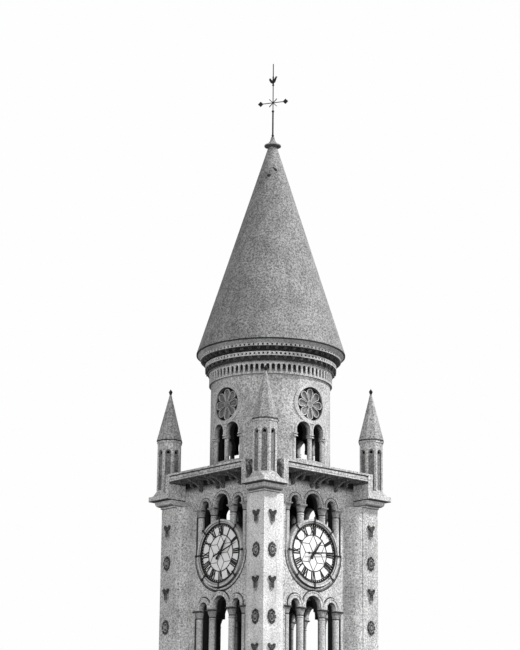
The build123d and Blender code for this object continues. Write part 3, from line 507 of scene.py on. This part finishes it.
def add_plate(mesh, outline, thick, place):
    """A flat plate of any outline, from local Z 0 to its thickness."""
    back = [mesh.verts.new(place @ Vector((x, y, 0))) for x, y in outline]
    front = [mesh.verts.new(place @ Vector((x, y, thick))) for x, y in outline]
    mesh.faces.new(list(reversed(back)))
    mesh.faces.new(front)
    for i in range(len(outline)):
        j = (i + 1) % len(outline)
        mesh.faces.new((back[i], back[j], front[j], front[i]))


def add_lathe(mesh, profile, steps, place):
    """A turned form: profile points are (radius, local Z), swept all round local Z."""
    rings = []
    for i in range(steps):
        angle = tau * i / steps
        points = [Vector((r * cos(angle), r * sin(angle), z)) for r, z in profile]
        rings.append([mesh.verts.new(place @ point) for point in points])
    for i in range(steps):
        here, there = rings[i], rings[(i + 1) % steps]
        for j in range(len(profile) - 1):
            mesh.faces.new((here[j], there[j], there[j + 1], here[j + 1]))


def finish_piece(name, mesh, look, bevel=0.0):
    """Weld a mesh, make it a piece of the tower and give it its slot and material."""
    data = bpy.data.meshes.new(name)
    bmesh.ops.remove_doubles(mesh, verts=mesh.verts, dist=weld_distance)
    bmesh.ops.recalc_face_normals(mesh, faces=mesh.faces)
    mesh.to_mesh(data)
    mesh.free()
    piece = bpy.data.objects.new(name, data)
    bpy.context.collection.objects.link(piece)
    data.materials.append(look)
    if bevel:
        modifier = piece.modifiers.new("edges", "BEVEL")
        modifier.width = bevel
        modifier.segments = bevel_segments
    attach(piece, BODY)


# Dial: roman hours and the ladder of minutes, on the glass behind the iron frame
glass_front = -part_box("dial_glasses")[0][1]
numeral_inner = 0.79
numeral_outer = 1.135
minute_line = 0.02
minute_outer = 1.21
minute_bar = 0.066
numeral_gap = 0.002
numeral_thick = 0.014
ring_steps = 96
thick_stroke = 0.056
thin_stroke = 0.026
foot_squeeze = 0.84
letter_lean = 0.36
NUMERALS = ("XII", "I", "II", "III", "IIII", "V", "VI", "VII", "VIII", "IX", "X", "XI")
LETTER_WIDTH = {"I": 0.088, "V": 0.19, "X": 0.19}


def stroke(mesh, bottom_x, top_x, width, place):
    """A stroke from the inner to the outer edge of the hour band."""
    half = width / 2
    outline = [
        (bottom_x - half, numeral_inner),
        (bottom_x + half, numeral_inner),
        (top_x + half, numeral_outer),
        (top_x - half, numeral_outer),
    ]
    add_plate(mesh, outline, numeral_thick, place)


def add_numeral(mesh, text, place):
    """Letters fan out from the dial's middle, so their feet are closer than their heads."""
    x = -sum(LETTER_WIDTH[letter] for letter in text) / 2
    for letter in text:
        width = LETTER_WIDTH[letter]
        high = x + width / 2
        low = high * foot_squeeze
        lean = width * letter_lean
        if letter == "I":
            stroke(mesh, low, high, thick_stroke, place)
        elif letter == "V":
            stroke(mesh, low, high - lean, thick_stroke, place)
            stroke(mesh, low, high + lean, thin_stroke, place)
        else:
            stroke(mesh, low + lean, high - lean, thick_stroke, place)
            stroke(mesh, low - lean, high + lean, thin_stroke, place)
        x += width


def add_dials(looks):
    """Numerals, and a ring with sixty bars outside it, on each dial."""
    numerals = bmesh.new()
    minutes = bmesh.new()
    inner, outer, thick = numeral_outer, numeral_outer + minute_line, numeral_thick
    ring = [(inner, 0), (inner, thick), (outer, thick), (outer, 0), (inner, 0)]
    half = minute_bar / 2
    foot = outer - minute_line / 2
    bar = [(-half, foot), (half, foot), (half, minute_outer), (-half, minute_outer)]
    for turn in SIDES:
        face = on_side(turn, glass_front + numeral_gap, height=dial_height)
        for hour, text in enumerate(NUMERALS):
            add_numeral(numerals, text, face @ Matrix.Rotation(-hour * tau / 12, 4, "Z"))
        add_lathe(minutes, ring, ring_steps, face)
        for minute in range(60):
            turned = face @ Matrix.Rotation(minute * tau / 60, 4, "Z")
            add_plate(minutes, bar, numeral_thick, turned)
    finish_piece("dial_numerals", numerals, looks["iron"])
    finish_piece("minute_rings", minutes, looks["iron"])


# Pier reliefs: outlines in metres about the relief's middle, from its face outward
relief_top = 15.4
relief_pitch = 1.361
relief_rows = 5
pier_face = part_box("front_right_pier")[1][0]
pier_inner_edge = 2.41
relief_along = (pier_face + pier_inner_edge) / 2
cup_thick, stem_thick, rib_thick = 0.09, 0.045, 0.07
TULIP_LOBES = (
    [
        (-0.02, 0.0), (-0.05, 0.02), (-0.12, 0.08), (-0.175, 0.17),
        (-0.185, 0.26), (-0.12, 0.285), (-0.08, 0.2), (-0.035, 0.12),
    ],
    [
        (-0.04, 0.04), (0.04, 0.04), (0.06, 0.12), (0.035, 0.19),
        (0, 0.225), (-0.035, 0.19), (-0.06, 0.12),
    ],
    [
        (0.02, 0.0), (0.035, 0.12), (0.08, 0.2), (0.12, 0.285),
        (0.185, 0.26), (0.175, 0.17), (0.12, 0.08), (0.05, 0.02),
    ],
)
TULIP_STEM = [
    (-0.125, 0.06), (-0.125, -0.14), (-0.085, -0.25), (0, -0.33),
    (0.085, -0.25), (0.125, -0.14), (0.125, 0.06),
]
RIBS_AT = (-0.075, 0.0, 0.075)
rib_half, rib_top, rib_foot = 0.014, 0.06, -0.2
oval = Matrix.Diagonal((0.68, 1.0, 1.0, 1.0))
ROSETTE_BASE = [(0.0, 0.016), (0.27, 0.016), (0.29, 0.0)]
ROSETTE_RING = [(0.15, 0.0), (0.155, 0.05), (0.175, 0.062), (0.195, 0.05), (0.2, 0.0)]
ROSETTE_BOSS = [(0.0, 0.085), (0.04, 0.08), (0.075, 0.055), (0.085, 0.0)]
ROSETTE_LEAF = [
    (-0.06, 0.205), (0.06, 0.205), (0.085, 0.27), (0.05, 0.315),
    (0, 0.295), (-0.05, 0.315), (-0.085, 0.27),
]
rosette_leaves, leaf_thick = 8, 0.055
rosette_steps, boss_steps = 32, 16
relief_bevel = 0.006


def add_tulip(dark, pale, place):
    """A flared cup of three lobes over a ribbed tapering stem."""
    for lobe in TULIP_LOBES:
        add_plate(dark, lobe, cup_thick, place)
    add_plate(pale, TULIP_STEM, stem_thick, place)
    for x in RIBS_AT:
        left, right = x - rib_half, x + rib_half
        rib = [(left, rib_foot), (right, rib_foot), (right, rib_top), (left, rib_top)]
        add_plate(dark, rib, rib_thick, place)


def add_rosette(dark, pale, place):
    """An oval cartouche: a ring and a boss on a dark ground of painted shade, with leaves that curl
    round it.
    """
    stretched = place @ oval
    add_lathe(dark, ROSETTE_BASE, rosette_steps, stretched)
    add_lathe(pale, ROSETTE_RING, rosette_steps, stretched)
    add_lathe(pale, ROSETTE_BOSS, boss_steps, stretched)
    for leaf in range(rosette_leaves):
        turned = stretched @ Matrix.Rotation(leaf * tau / rosette_leaves, 4, "Z")
        add_plate(dark, ROSETTE_LEAF, leaf_thick, turned)


def add_reliefs(looks):
    """Tulips and rosettes in turn from the top, on the eight outer faces of the piers; cups, ribs,
    grounds and leaves are dark with painted shade, stems, rings and bosses paler.
    """
    dark, pale = bmesh.new(), bmesh.new()
    for turn in SIDES:
        for sign in (-1, 1):
            for row in range(relief_rows):
                height = relief_top - row * relief_pitch
                place = on_side(turn, pier_face, sign * relief_along, height)
                if row % 2 == 0:
                    add_tulip(dark, pale, place)
                else:
                    add_rosette(dark, pale, place)
    finish_piece("relief_cups", dark, looks["relief_dark"], bevel=relief_bevel)
    finish_piece("relief_stems", pale, looks["relief_pale"], bevel=relief_bevel)


# Mouldings along the abaci of both arcades; the profile's points are (outward, up)
moulding_out, moulding_high, moulding_bevel = 2.77, 0.07, 0.004
MOULDING_PROFILE = [(0, 0), (0.035, 0), (0.05, 0.018), (0.075, 0.034), (0.075, 0.07), (0, 0.07)]
# Each moulding: a place along the side, and its reach from there to the middle and to the corner
MOULDINGS = ((0.62, 0.19, 0.19), (1.44, 0.17, 0.25))
up_and_out = Matrix(((0, 0, 1, 0), (0, 1, 0, 0), (1, 0, 0, 0), (0, 0, 0, 1)))


def add_abaci(looks):
    """A moulding on each abacus, with painted shade: dark in the belfry and paler above the dials.
    """
    lower, upper = bmesh.new(), bmesh.new()
    for turn in SIDES:
        for sign in (-1, 1):
            for middle, inward, outward in MOULDINGS:
                ends = sorted((sign * (middle - inward), sign * (middle + outward)))
                for mesh, top in ((lower, belfry_abacus), (upper, clock_abacus)):
                    place = on_side(turn, moulding_out, ends[0], top - moulding_high) @ up_and_out
                    add_plate(mesh, MOULDING_PROFILE, ends[1] - ends[0], place)
    finish_piece("belfry_abaci", lower, looks["relief_dark"], bevel=moulding_bevel)
    finish_piece("clock_abaci", upper, looks["relief_pale"], bevel=moulding_bevel)


# Cornice corbels: scalloped blocks in the recesses under the two pierced strips
band_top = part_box("arch_band")[1][2]
corbel_count, corbel_half, corbel_inner = 48, 0.07, 2.775
# Each row: how far out it reaches, the height of its top and its drop
CORBEL_ROWS = ((2.885, band_top + 0.227, 0.15), (2.98, band_top + 0.609, 0.13))
# Of the drop, the share that is straight and the share that is round
corbel_straight, corbel_round = 0.35, 0.65
ROUND_ANGLES = (-1.0, -0.5, 0.0, 0.5, 1.0)


def add_corbels(looks):
    """Two rows of corbels round the drum, each with a straight neck and a round lower end."""
    mesh = bmesh.new()
    for outer, top, drop in CORBEL_ROWS:
        shoulder, bulge = -drop * corbel_straight, drop * corbel_round
        block = [(-corbel_half, 0), (-corbel_half, shoulder)]
        block += [(corbel_half * sin(a), shoulder - bulge * cos(a)) for a in ROUND_ANGLES]
        block += [(corbel_half, shoulder), (corbel_half, 0)]
        for step in range(corbel_count):
            place = on_side(step * 360 / corbel_count, corbel_inner, height=top)
            add_plate(mesh, block, outer - corbel_inner, place)
    # Corbels in the dark copy of the stone: painted shade in the recesses
    finish_piece("cornice_corbels", mesh, looks["relief_dark"])


# Studio: pale floor, a key light from the photo's right, a soft one from its front, white all round
# Each lamp: name, strength, softness, direction round the tower from +X and height, in degrees
LAMPS = (
    ("key", 4.2, 6, 42, 46),
    ("fill", 1.1, 60, -38, 22),
)
floor_reach = 220
world_strength, backdrop_white = 0.28, 0.99


def add_floor():
    floor = bpy.data.meshes.new("floor")
    signs = (-1, -1), (1, -1), (1, 1), (-1, 1)
    corners = [(x * floor_reach, y * floor_reach, 0) for x, y in signs]
    floor.from_pydata(corners, [], [(0, 1, 2, 3)])
    piece = bpy.data.objects.new("floor", floor)
    bpy.context.collection.objects.link(piece)
    make = Maker("floor_paint")
    paint = make.ramp(make.noise(0.2), 0.3, 0.7, grey(0.58), grey(0.62))
    make.link(paint, make.shader.inputs["Base Color"])
    make.shader.inputs["Roughness"].default_value = 0.9
    floor.materials.append(make.material)


def add_world():
    """Soft light all round, and a white backdrop for camera and glossy rays."""
    world = bpy.data.worlds.new("studio")
    bpy.context.scene.world = world
    world.use_nodes = True
    tree = world.node_tree
    plain = tree.nodes["Background"]
    plain.inputs["Color"].default_value = (1, 1, 1, 1)
    plain.inputs["Strength"].default_value = world_strength
    seen = tree.nodes.new("ShaderNodeBackground")
    seen.inputs["Color"].default_value = (*grey(backdrop_white), 1)
    seen.inputs["Strength"].default_value = 1.0
    rays = tree.nodes.new("ShaderNodeLightPath")
    straight = tree.nodes.new("ShaderNodeMath")
    straight.operation = "MAXIMUM"
    tree.links.new(rays.outputs["Is Camera Ray"], straight.inputs[0])
    tree.links.new(rays.outputs["Is Glossy Ray"], straight.inputs[1])
    choose = tree.nodes.new("ShaderNodeMixShader")
    tree.links.new(straight.outputs[0], choose.inputs["Fac"])
    tree.links.new(plain.outputs[0], choose.inputs[1])
    tree.links.new(seen.outputs[0], choose.inputs[2])
    tree.links.new(choose.outputs[0], tree.nodes["World Output"].inputs["Surface"])


def add_lamps():
    for name, energy, spread, azimuth, height in LAMPS:
        data = bpy.data.lights.new(name, "SUN")
        data.energy = energy
        data.angle = radians(spread)
        lamp = bpy.data.objects.new(name, data)
        turn, rise = radians(azimuth), radians(height)
        to_lamp = Vector((cos(turn) * cos(rise), sin(turn) * cos(rise), sin(rise)))
        lamp.rotation_euler = (-to_lamp).to_track_quat("-Z", "Y").to_euler()
        bpy.context.collection.objects.link(lamp)


add_camera()
looks = dress_nodes()
add_dials(looks)
add_reliefs(looks)
add_abaci(looks)
add_corbels(looks)
add_floor()
add_world()
add_lamps()

bpy.context.scene.view_settings.view_transform = "Standard"
